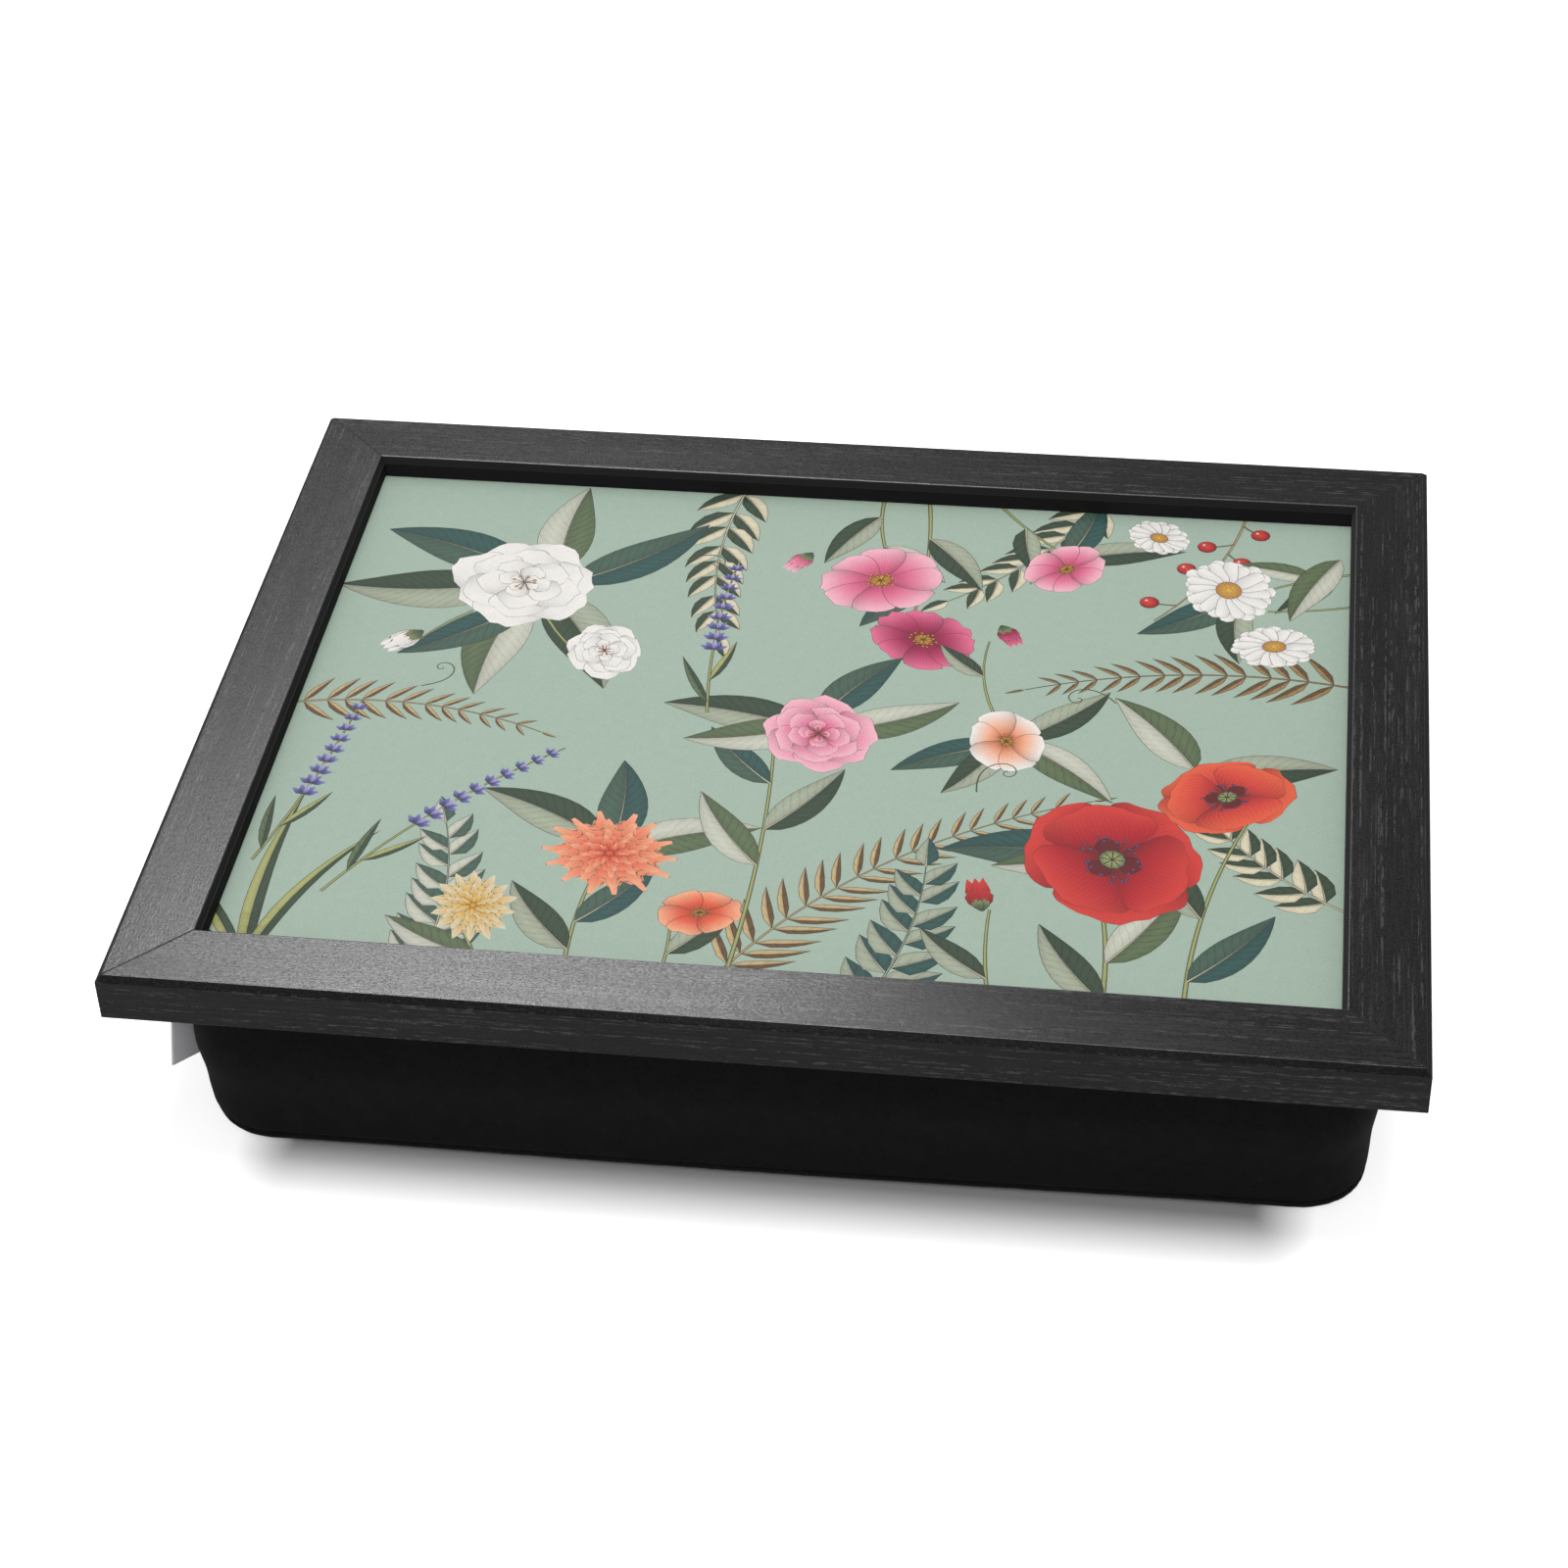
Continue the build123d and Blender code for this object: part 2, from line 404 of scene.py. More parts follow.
def cushion():
    """The bead-filled bag: the fill's solid, its uneven swelling found by a cloth simulation, one
    cover's thickness outside the fill, flat where it rests and drawn in at its two seams."""
    source = nodes["bead_fill"]
    low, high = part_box("cover_base_panel")[0].z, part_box("cover_top_panel")[1].z
    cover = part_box("bead_fill")[0].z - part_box("cover_base_panel")[0].z
    faces = [face.vertices for face in source.data.polygons]
    fill = BVHTree.FromPolygons([v.co for v in source.data.vertices], faces)
    piece = link("cushion_cover", source.data.copy())
    bpy.context.view_layer.objects.active = piece
    remesh = piece.modifiers.new("even", "REMESH")
    remesh.mode = "VOXEL"
    remesh.voxel_size = voxel
    bpy.ops.object.modifier_apply(modifier=remesh.name)
    start = places_of(piece)
    simulate(piece)
    swell = (places_of(piece) - start) * swell_share
    length = np.linalg.norm(swell, axis=1, keepdims=True)
    swell *= np.minimum(1.0, swell_cap / np.maximum(length, tiny))
    swell *= np.clip((start[:, 2:] - low) / held_height, 0, 1)
    piece.data.vertices.foreach_set("co", (start + swell).ravel())
    held = piece.data.attributes.new("swell", "FLOAT_VECTOR", "POINT")
    held.data.foreach_set("vector", swell.ravel())
    smooth = piece.modifiers.new("round", "SUBSURF")
    smooth.levels = smooth.render_levels = 1
    bpy.ops.object.modifier_apply(modifier=smooth.name)
    ahead = [v.co + v.normal * look_ahead * cover for v in piece.data.vertices]
    extra = [Vector(held.vector) for held in piece.data.attributes["swell"].data]
    seats = [fill.find_nearest(place)[0] for place in ahead]
    co = fuller(np.array([s + (a - s).normalized() * cover + e for a, s, e in zip(ahead, seats, extra)]))
    co[:, 2] = np.clip(co[:, 2], low, high - cushion_clear)
    piece.data.vertices.foreach_set("co", co.ravel())
    piece.data.attributes.remove(piece.data.attributes["swell"])
    for level in (low + base_seam, high - top_seam_drop):
        draw_in(piece, level)
    for face in piece.data.polygons:
        face.use_smooth = True
    return piece


def fuller(places):
    """Fills the bag out beyond its solid: its long sides bowed, its base's edge and corners full, and
    most of all the right front corner, where the fill has run."""
    low, high = places.min(0), places.max(0)
    across = ((2 * places - low - high) / (high - low))[:, :2]
    u, v = across.T
    at_base = np.exp(-(places[:, 2] - low[2]) / base_fade)
    corner = (corner_full + base_corner_full * at_base) * np.abs(u * v) ** corner_sharpness
    grown = base_full * at_base
    right_front = (np.maximum(u, 0) * np.maximum(-v, 0)) ** corner_sharpness
    right_front *= right_corner_full * np.exp(-(places[:, 2] - low[2]) / right_corner_fade)
    places[:, 0] += u * (side_full + grown) + np.sign(u) * corner + right_front
    places[:, 1] += v * (long_bow * (bow_share - u ** 2) + grown) + np.sign(v) * corner
    return places


def draw_in(piece, level):
    """Cuts a groove round the cushion at the height of a seam."""
    shell = bmesh.new()
    shell.from_mesh(piece.data)
    for height in (level - seam_half, level, level + seam_half):
        everything = [*shell.verts, *shell.edges, *shell.faces]
        bmesh.ops.bisect_plane(shell, geom=everything, plane_co=(0, 0, height), plane_no=(0, 0, 1), dist=weld)
    shell.normal_update()
    moves = [(v, v.normal.copy()) for v in shell.verts if abs(v.co.z - level) < seam_half / 2]
    for vert, out in moves:
        out.z = 0
        share = 1 - abs(vert.co.z - level) / seam_half
        vert.co -= out.normalized() * seam_depth * share
    shell.to_mesh(piece.data)
    shell.free()


def simulate(piece):
    """Swells a piece with the Cloth modifier's pressure."""
    scene = bpy.context.scene
    cloth = piece.modifiers.new("swell", "CLOTH")
    cloth.settings.use_pressure = True
    cloth.settings.uniform_pressure_force = cloth_pressure
    cloth.settings.effector_weights.gravity = 0
    cloth.point_cache.frame_start = 1
    cloth.point_cache.frame_end = cloth_frames
    for step in range(1, cloth_frames + 1):
        scene.frame_set(step)
    bpy.ops.object.modifier_apply(modifier=cloth.name)


# The print's artwork, in millimetres

palette = {
    "sage": (168, 189, 173), "outline": (48, 46, 36), "forest": (54, 74, 54), "moss": (96, 114, 80),
    "olive": (126, 130, 66), "lime": (176, 178, 112), "silver": (172, 180, 158), "mist": (206, 208, 192),
    "cream": (226, 218, 188), "teal": (44, 86, 82), "pine": (70, 98, 84), "bark": (104, 78, 46),
    "straw": (160, 130, 84), "sand": (204, 178, 130), "magenta": (176, 30, 88), "rose": (232, 112, 150),
    "blush": (250, 190, 205), "crimson": (112, 8, 24), "scarlet": (186, 20, 36), "flame": (216, 60, 52),
    "rust": (178, 46, 26), "coral": (236, 98, 64), "peach": (250, 178, 138), "white": (246, 243, 238),
    "pearl": (206, 200, 214), "gold": (232, 180, 56), "amber": (184, 112, 28), "indigo": (84, 84, 158),
    "lavender": (156, 150, 216),
}


def as_light(display):
    """Display values as amounts of light, by the display's standard curve."""
    value = np.array(display) / 255
    return np.where(value <= 0.04045, value / 12.92, ((value + 0.055) / 1.055) ** 2.4)


tint = {name: as_light(display) for name, display in palette.items()}
far_inside = 9.0
design_seed = 11


def between(first, second, share):
    """Colours between two others, for one share or an array of them."""
    share = np.clip(np.asarray(share, float), 0, 1)[..., None]
    return first * (1 - share) + second * share


class Ink:
    """Patches of ink, in millimetres; a later patch lies over an earlier one."""

    def __init__(self):
        self.points, self.values, self.quads, self.count = [], [], [], 0
        self.place()

    def place(self, x=0.0, y=0.0, turn=0.0, squash=1.0, lean=0.0):
        """Sets where the next patches go: turned, and foreshortened in the direction of the lean."""
        a, b = math.radians(turn), math.radians(lean)
        spin = np.array([[math.cos(a), -math.sin(a)], [math.sin(a), math.cos(a)]])
        tilt = np.array([[math.cos(b), -math.sin(b)], [math.sin(b), math.cos(b)]])
        self.seat = (x, y)
        self.matrix = tilt @ np.diag((squash, 1.0)) @ tilt.T @ spin

    def patch(self, points, colours, phase=0.0, strength=0.0, inside=far_inside):
        """Rows of points, each with its colour, the phase and strength of its fine lines, and how far
        it lies inside the outline."""
        rows, columns = points.shape[:2]
        values = np.empty((rows, columns, 6))
        values[..., :3], values[..., 3], values[..., 4], values[..., 5] = colours, phase, strength, inside
        index = np.arange(rows * columns).reshape(rows, columns) + self.count
        quads = np.stack((index[:-1, :-1], index[1:, :-1], index[1:, 1:], index[:-1, 1:]), -1)
        self.points.append(points.reshape(-1, 2) @ self.matrix.T + self.seat)
        self.values.append(values.reshape(-1, 6))
        self.quads.append(quads.reshape(-1, 4))
        self.count += rows * columns


ink = Ink()
dice = random.Random(design_seed)


def arc_line(x, y, heading, length, bend, count):
    """Points along an arc, with the direction at each in radians."""
    angle = np.radians(heading + bend * np.linspace(0, 1, count))
    middle = (angle[1:] + angle[:-1]) / 2
    steps = np.stack((np.cos(middle), np.sin(middle)), -1) * length / (count - 1)
    return np.vstack(([(x, y)], np.cumsum(steps, 0) + (x, y))), angle


def stroke(line, angle, widths, dark, light):
    """A drawn line, lighter along its middle."""
    side = np.stack((-np.sin(angle), np.cos(angle)), -1)
    half = np.broadcast_to(np.asarray(widths, float), angle.shape)[:, None] / 2
    across = np.array((-1.0, 0.15, 1.0))
    points = line[:, None] + side[:, None] * (half * across)[..., None]
    tone = np.array((0.25, 1.0, 0.0))
    colours = np.broadcast_to(between(tint[dark], tint[light], tone), points.shape[:2] + (3,))
    ink.patch(points, colours, inside=half * (1 - np.abs(across)))


def stem(x, y, heading, length, bend, thick, leaves=(), dark="forest", light="lime"):
    """A tapered stem and its leaves, each given by its share of the way, turn, length, width and two
    tones. Gives back the stem's line and directions."""
    count = max(5, int(length / 6))
    line, angle = arc_line(x, y, heading, length, bend, count)
    stroke(line, angle, np.linspace(thick, thick * 0.6, count), dark, light)
    for share, turn, size, width, low, high in leaves:
        index = int(share * (count - 1))
        leaf(*line[index], math.degrees(angle[index]) + turn, size, width, -0.4 * turn, low, high)
    return line, angle


def leaf(x, y, heading, length, width, bend, dark, light, veins=None, belly=0.75, rib=True):
    """A pointed leaf with a half in each tone, side veins and a pale midrib."""
    count = int(np.clip(length / 4, 5, 12))
    share = np.linspace(0, 1, count)
    line, angle = arc_line(x, y, heading, length, bend, count)
    half = width / 2 * (0.015 + 0.985 * np.sin(np.pi * share ** belly) ** 0.9)[:, None]
    side = np.stack((-np.sin(angle), np.cos(angle)), -1)[:, None]
    across = np.array((0.0, 0.5, 1.0))
    veins = length / 4.2 if veins is None else veins
    phase = veins * (share[:, None] - 0.5 * across * width / length)
    strength = 0.55 * np.ones_like(phase) * np.sin(np.pi * share)[:, None] ** 0.3
    for sign, tone in ((1, light), (-1, dark)):
        points = line[:, None] + sign * side * (half * across)[..., None]
        glow = np.array((0.78, 1.0, 0.84)) * (0.80 + 0.25 * np.sin(np.pi * share ** 0.7))[:, None]
        ink.patch(points, tint[tone] * glow[..., None], phase, strength, half * (1 - across))
    if rib and width > 6:
        stroke(line[:-1], angle[:-1], 0.9 * (1.1 - share[:-1]), dark, "cream")


def petal(heading, length, width, tones, root=0.05, blunt=0.3, point=0.1, notch=0.0, ruffle=0.0,
          lines=6, side=1, seed=0.0, waist=1.25, strength=0.9):
    """One petal from the middle of a flower, in three tones from its root to its edge."""
    rows = np.sin(np.linspace(0, np.pi / 2, int(np.clip(length / 3.5, 4, 9)) + 1))
    columns = np.sin(np.linspace(-np.pi / 2, np.pi / 2, int(np.clip(width / 2.4, 4, 13)) + 1))
    u, v = np.meshgrid(root + (1 - root) * rows, columns, indexing="ij")
    half = width / 2 * np.sin(np.pi / 2 * np.minimum(1, waist * u)) ** 0.9 * (1 - point * u ** 4)
    along = length * u * (1 - blunt * v ** 2 * u)
    along += length * ruffle * u ** 3 * (0.6 * np.sin(5 * v + 7 * seed) + 0.4 * np.sin(11 * v + 3 * seed))
    along -= length * notch * u ** 4 * np.exp(-(v / 0.22) ** 2)
    a = math.radians(heading)
    across = half * v
    ahead, aside = np.array((math.cos(a), math.sin(a))), np.array((-math.sin(a), math.cos(a)))
    points = along[..., None] * ahead + across[..., None] * aside
    low, body, high = (tint[tone] for tone in tones)
    inner, outer = between(low, body, u / 0.45), between(body, high, (u - 0.45) / 0.5)
    colours = np.where(u[..., None] < 0.45, inner, outer)
    fold = 1 - 0.30 * np.clip(side * v, 0, 1) ** 2 - 0.10 * np.exp(-(v / 0.15) ** 2) * (1 - u)
    inside = np.minimum(half * (1 - np.abs(v)), length * (1 - u))
    phase = lines * v * (1 + 0.25 * u)
    ink.patch(points, colours * fold[..., None], phase, strength * (1.1 - u) ** 0.7, inside)


def spot(x, y, radius, inner, outer, sides=9, gleam=0.0):
    """A round spot, shaded towards its rim."""
    turn = np.linspace(0, 2 * np.pi, sides + 1)
    turn[-1] -= 1e-4
    rings = np.array((0.03, 0.6, 1.0))[:, None]
    points = np.stack((x + radius * rings * np.cos(turn), y + radius * rings * np.sin(turn)), -1)
    tone = rings ** 1.5 - gleam * np.maximum(0, np.cos(turn - 2.2)) * rings
    inside = radius * (1 - rings) * np.ones_like(turn)
    ink.patch(points, between(tint[inner], tint[outer], tone), inside=inside)


def ring(count, start, jitter):
    """Headings spaced round a circle, a little uneven."""
    return [start + 360 / count * k + dice.uniform(-jitter, jitter) for k in range(count)]


def stamens(reach, count, thread, tip, size):
    """Threads round a flower's middle, with a grain at the end of each."""
    for heading in ring(count, dice.uniform(0, 30), 7):
        line, angle = arc_line(0, 0, heading, reach * dice.uniform(0.7, 1.0), dice.uniform(-20, 20), 3)
        stroke(line, angle, 0.4, thread, thread)
        spot(*line[-1], size, tip, thread, 6)


def flower(kind, x, y, radius, squash, lean, *settings):
    """Draws a flower of one kind at its place."""
    ink.place(x, y, dice.uniform(0, 60), squash, lean)
    kind(radius, *settings)
    ink.place()


def double(radius, tones):
    """A full flower: rings of ruffled petals, smaller towards the heart."""
    for share, count, wide in ((1.0, 7, 1.0), (0.8, 6, 1.0), (0.6, 5, 0.95), (0.4, 4, 0.9), (0.24, 4, 0.8)):
        for k, heading in enumerate(ring(count, dice.uniform(0, 60), 7)):
            size = radius * share * dice.uniform(0.92, 1.05)
            petal(heading, size, size * wide, tones, blunt=0.34, ruffle=0.05, notch=0.06,
                  lines=max(2, size / 5), side=(-1) ** k, seed=dice.uniform(0, 3))
    stamens(radius * 0.17, 8, "amber", "gold", radius * 0.025)


def bowl(radius, tones, blotch):
    """Broad crumpled petals with dark blotches, round a seed head and a ring of dark stamens."""
    for layer, share in enumerate((1.0, 0.88)):
        for heading in ring(3, 60 * layer, 8):
            size = radius * share
            petal(heading, size, size * 1.55, tones, ruffle=0.05, lines=size / 3,
                  side=dice.choice((-1, 1)), seed=dice.uniform(0, 3), waist=1.5)
            petal(heading, size * 0.4, size * 0.36, (blotch, blotch, blotch), lines=3)
    stamens(radius * 0.38, 24, blotch, "indigo", radius * 0.026)
    spot(0, 0, radius * 0.15, "lime", "moss", 10)
    for heading in ring(8, 0, 0):
        line, angle = arc_line(0, 0, heading, radius * 0.13, 0, 3)
        stroke(line, angle, 0.5, "outline", "moss")


def ray(radius, tones, count, eye=0.27):
    """Narrow petals in two layers round a domed disc of florets."""
    for layer in (0, 1):
        for heading in ring(count, layer * 180 / count, 4):
            size = radius * (1 - 0.07 * layer) * dice.uniform(0.93, 1.04)
            petal(heading, size, size * 5.2 / count, tones, root=0.15, blunt=0.16, notch=0.04,
                  lines=2, waist=2.2)
    spot(0, 0, radius * eye, "gold", "amber", 14)
    for share, dots in ((0.86, 15), (0.58, 10), (0.3, 6)):
        for heading in ring(dots, 40 * share, 3):
            a, reach = math.radians(heading), radius * eye * share
            spot(reach * math.cos(a), reach * math.sin(a), radius * 0.028, "cream", "amber", 5)


def broad(radius, tones, count=8):
    """Broad petals with toothed ends round a small eye."""
    for k, heading in enumerate(ring(count, 0, 4)):
        size = radius * dice.uniform(0.93, 1.04)
        petal(heading, size, size * 5.9 / count, tones, root=0.1, blunt=0.14, ruffle=0.03, notch=0.07,
              lines=size / 4, side=(-1) ** k, seed=dice.uniform(0, 3), waist=1.2)
    spot(0, 0, radius * 0.17, "gold", "amber", 11)
    stamens(radius * 0.25, 13, "amber", "gold", radius * 0.03)


def quilled(radius, tones):
    """Rings of small pointed petals."""
    for share, count in ((1.0, 14), (0.82, 12), (0.63, 10), (0.44, 8), (0.26, 6)):
        for heading in ring(count, dice.uniform(0, 30), 3):
            size = radius * share * dice.uniform(0.95, 1.04)
            petal(heading, size, size * 0.5, tones, blunt=0.34, point=0.6, lines=2, waist=1.7)
    spot(0, 0, radius * 0.08, tones[1], tones[0], 8)


def bud(x, y, heading, length, tones):
    """A closed flower in its green cup."""
    ink.place(x, y, heading)
    for sign in (-1, 1, 0):
        petal(9 * sign, length, 0.42 * length, tones, blunt=0.38, point=0.6, lines=3,
              side=sign or 1, waist=1.9)
    for sign in (-1, 1):
        petal(14 * sign, 0.5 * length, 0.28 * length, ("forest", "moss", "lime"), blunt=0.4,
              point=0.8, lines=2)
    ink.place()


def spray(x, y, heading, length, bend, pairs, size, width, dark, light, out=48, taper=0.4,
          belly=0.75, shift=0.0, stalk=1.2):
    """A stem with leaves along both sides and one at its end."""
    count = 4 * pairs + 1
    line, angle = arc_line(x, y, heading, length, bend, count)
    for k in range(pairs):
        for sign in (1, -1):
            share = 0.12 + 0.85 * (k + (shift if sign < 0 else 0)) / pairs
            index = int(share * (count - 1))
            scale = (1 - taper * share) * min(1, 0.7 + 2 * share)
            turn = math.degrees(angle[index]) + sign * (out - 14 * share)
            leaf(*line[index], turn, size * scale, width * scale, -16 * sign, dark, light, 4, belly)
    end = size * (1 - taper)
    leaf(*line[-1], math.degrees(angle[-1]), end, width * (1 - taper), 0, dark, light, 4, belly)
    stroke(line, angle, np.linspace(stalk, 0.4 * stalk, count), dark, light)


def bell_spike(x, y, heading, length, bend, whorls):
    """A flower spike with whorls of small blue drops."""
    line, angle = stem(x, y, heading, length, bend, 1.3,
                       ((0.12, 24, 30, 4, "forest", "moss"), (0.2, -26, 26, 4, "forest", "lime")))
    for k in range(whorls):
        share = 0.42 + 0.56 * k / (whorls - 1)
        index = int(share * (len(line) - 1))
        size = 7.4 * (1.1 - 0.5 * share)
        for out in (-64, 64, -28, 30, 0):
            tones = ("forest", "indigo", "lavender") if out else ("indigo", "lavender", "pearl")
            ink.place(*line[index], math.degrees(angle[index]) + out + dice.uniform(-8, 8))
            petal(0, size, 0.42 * size, tones, root=0.02, blunt=0.38, point=0.6, lines=2, waist=2)
    ink.place()


def berry_twig(x, y, heading, length, bend, places):
    """A twig with round fruit on short stalks, each given by its share of the way and its side."""
    line, angle = stem(x, y, heading, length, bend, 1.2, (), "bark", "sand")
    for share, sign in places:
        index = int(share * (len(line) - 1))
        out = math.degrees(angle[index]) + sign * dice.uniform(36, 62)
        stalk, turns = arc_line(*line[index], out, dice.uniform(8, 13), 20 * sign, 4)
        stroke(stalk, turns, 0.8, "bark", "straw")
        spot(*stalk[-1], 3.8, "flame", "crimson", 12, 0.7)
        spot(stalk[-1][0] - 1.2, stalk[-1][1] + 1.3, 0.8, "white", "peach", 6)


def tendril(x, y, heading, size, turns, sign):
    """A thin line that coils up towards its end."""
    count = 30
    share = np.linspace(0, 1, count)
    angle = math.radians(heading) + sign * 2 * np.pi * turns * share ** 1.7
    middle = (angle[1:] + angle[:-1]) / 2
    steps = np.stack((np.cos(middle), np.sin(middle)), -1) * (size * (1.15 - share[1:]) / count)[:, None]
    line = np.vstack(([(x, y)], np.cumsum(steps, 0) + (x, y)))
    stroke(line, angle, np.linspace(0.6, 0.35, count), "moss", "olive")


def foliage(*rows):
    """Leaves, each given by its place, heading, length, width, bend and two tones."""
    for x, y, heading, length, width, bend, tones in rows:
        leaf(x, y, heading, length, width, bend, *tones)


def draw_print():
    """The whole print, from what lies at the back of the drawing to its front."""
    pink, hot = ("magenta", "rose", "blush"), ("crimson", "magenta", "rose")
    red, warm = ("crimson", "scarlet", "flame"), ("rust", "coral", "peach")
    pale, shell = ("pearl", "white", "white"), ("blush", "white", "white")
    honey = ("amber", "gold", "cream")
    green, dusty, sea = ("forest", "silver"), ("moss", "mist"), ("teal", "pine")

    # Ferns and sprays
    spray(-22, -152, 66, 176, -46, 19, 27, 5.0, "bark", "sand", 60, 0.66, 0.7)
    spray(200, 38, 168, 128, 34, 14, 24, 4.6, "bark", "straw", 58, 0.66, 0.7)
    spray(-200, -8, 16, 104, -40, 12, 20, 4.2, "bark", "sand", 58, 0.66, 0.7)
    spray(-44, 152, -104, 104, 30, 8, 24, 10, "forest", "cream", 52)
    spray(96, 152, -112, 92, -30, 8, 22, 10, "forest", "cream", 52)
    spray(-118, -152, 78, 84, 30, 7, 23, 12, "pine", "mist", 58, 0.35, 0.65, 0.5)
    spray(192, -86, 150, 74, -30, 7, 20, 10, "forest", "cream", 54)
    spray(34, -150, 66, 76, 26, 6, 24, 13, "teal", "silver", 60, 0.35, 0.65, 0.5)
    for blade in ((100, 92, 7, -20), (118, 74, 6, 16), (84, 82, 6, -34), (134, 54, 5, 22)):
        leaf(-176, -150, *blade, "forest", "lime", 1, 0.6, False)

    # White flowers and broad grey leaves, back left
    foliage((-128, 74, 196, 66, 25, -22, green), (-120, 66, 252, 62, 24, 22, dusty),
            (-112, 70, 312, 66, 24, -26, green), (-124, 84, 150, 62, 23, 18, sea),
            (-110, 84, 98, 58, 22, -20, dusty), (-104, 78, 30, 64, 21, 24, sea),
            (-118, 62, 228, 56, 18, -18, sea))
    stem(-112, 60, -66, 46, 30, 1.6)
    stem(-138, 56, -140, 26, 20, 1.3)
    flower(double, -122, 76, 31, 0.9, 70, pale)
    flower(double, -84, 36, 19, 0.82, 20, shell)
    bud(-154, 42, 224, 21, shell)

    # Pink open flowers, hanging from the back edge
    stem(10, 152, -96, 66, 34, 1.8, ((0.35, -42, 38, 13, *green), (0.6, 44, 34, 12, *dusty)))
    stem(26, 152, -80, 92, -18, 1.8, ((0.4, 40, 40, 14, *green), (0.72, -44, 34, 12, *sea)))
    stem(50, 152, -58, 62, 20, 1.6, ((0.45, -38, 30, 11, *green),))
    flower(broad, 14, 90, 25, 0.84, 110, pink)
    flower(broad, 34, 54, 22, 0.78, 60, hot)
    bud(-14, 106, 236, 17, pink)
    bud(62, 66, 300, 16, hot)

    # Daisies and berries, back right
    fruit = ((0.2, 1), (0.32, -1), (0.45, 1), (0.58, -1), (0.72, 1), (0.88, -1))
    berry_twig(152, 152, -96, 86, -34, fruit)
    stem(200, 112, 190, 52, 26, 1.6, ((0.3, 40, 34, 11, *green), (0.55, -42, 32, 11, *dusty)))
    stem(200, 92, 200, 40, -16, 1.5)

    # Red bowl flowers, right
    stem(112, -152, 84, 84, 22, 2.2, ((0.2, 44, 44, 15, *green), (0.42, -40, 50, 17, *dusty)))
    stem(140, -152, 92, 122, -24, 2.0, ((0.24, -44, 46, 15, *sea), (0.5, 42, 42, 14, *green)))
    stem(78, -152, 104, 56, -16, 1.8, ((0.4, 48, 34, 12, *green),))
    foliage((112, -66, 168, 60, 22, 24, sea), (118, -58, 208, 50, 19, -20, dusty),
            (140, -20, 24, 50, 19, -22, green), (138, -14, 118, 50, 18, 20, dusty))
    flower(bowl, 112, -66, 34, 0.88, 30, red, "crimson")
    flower(bowl, 150, -28, 25, 0.78, 120, ("crimson", "flame", "coral"), "crimson")
    bud(70, -98, 104, 19, red)

    # Coral and honey flowers, front left
    stem(-66, -152, 98, 70, -20, 1.9, ((0.3, 44, 42, 15, *green), (0.55, -42, 40, 14, *sea)))
    stem(-92, -152, 112, 44, 10, 1.8, ((0.4, 46, 40, 14, *dusty),))
    stem(-36, -152, 80, 44, 20, 1.6, ((0.5, -44, 34, 12, *green),))
    foliage((-60, -78, 30, 52, 19, -22, dusty), (-66, -74, 140, 54, 19, 24, green),
            (-62, -76, 84, 48, 18, 20, sea))
    flower(quilled, -62, -80, 26, 0.88, 60, warm)
    flower(quilled, -104, -112, 20, 0.8, 20, honey)
    flower(broad, -26, -108, 15, 0.8, 100, warm, 6)

    # A full pink flower, middle
    stem(-14, -152, 84, 148, 12, 1.9,
         ((0.5, 42, 46, 15, *dusty), (0.62, -44, 44, 15, *green), (0.8, 46, 40, 13, *sea)))
    foliage((-2, -4, 158, 56, 20, 22, green), (0, -2, 204, 48, 18, -20, dusty),
            (2, 4, 66, 46, 17, -20, sea), (6, -4, 14, 50, 18, 22, dusty))
    flower(double, 2, -6, 24, 0.86, 40, pink)
    stem(64, 12, 112, 44, -30, 1.3, ((0.5, 46, 26, 9, *green),), "moss")
    foliage((70, -6, 196, 44, 15, 18, sea), (70, -4, 246, 38, 14, -18, green),
            (74, -4, -32, 48, 16, -18, dusty), (74, -2, 34, 44, 15, 20, green),
            (188, 120, 236, 46, 15, 20, dusty), (84, 110, 22, 46, 15, -20, green),
            (84, 112, 66, 42, 14, 20, sea), (150, 92, 226, 46, 16, -20, sea),
            (150, 90, 262, 40, 14, 20, green))
    flower(broad, 84, 104, 18, 0.8, 140, pink)
    flower(broad, 70, -4, 18, 0.8, 20, ("rust", "peach", "white"), 6)

    flower(ray, 146, 96, 21, 0.88, 20, pale, 15)
    flower(ray, 164, 62, 17, 0.8, 100, pale, 14)
    flower(ray, 118, 128, 14, 0.8, 60, pale, 13)

    # Blue spikes, left and middle
    bell_spike(-158, -110, 62, 112, -22, 10)
    bell_spike(-186, -96, 74, 96, 10, 9)
    bell_spike(-40, 2, 98, 96, -14, 9)
    tendril(62, -34, 96, 62, 1.4, -1)
    tendril(-148, 8, 20, 50, 1.3, 1)
    tendril(108, 22, 130, 54, 1.3, 1)
    tendril(-62, 96, 40, 44, 1.2, -1)


# The printed sheet: its cutting, in millimetres, its fine lines and grain, and its chart

paint_step = 0.2
tile_size = 33.0
snap = 0.0001
sheet_weld = 0.003 * mm
solve_steps = 6
wobble_waves = 260.0
broken_waves = 900.0
broken_levels = (0.35, 0.6, 0.35)
canvas_waves = 1500.0
canvas_levels = (0.3, 0.7, 0.93, 1.04)
cloud_waves = 240.0
cloud_levels = (0.3, 0.7, -0.02, 0.02)
wobble = 0.7
ragged = 0.16
hatch_width = (0.05, 0.17)
hatch_paleness = 0.35
outline_width = (0.20, 0.42)
outline_share = 0.85
uv_name = "OFBake"
uv_margin = 0.01
uv_span = 0.98
upper_share = 0.95


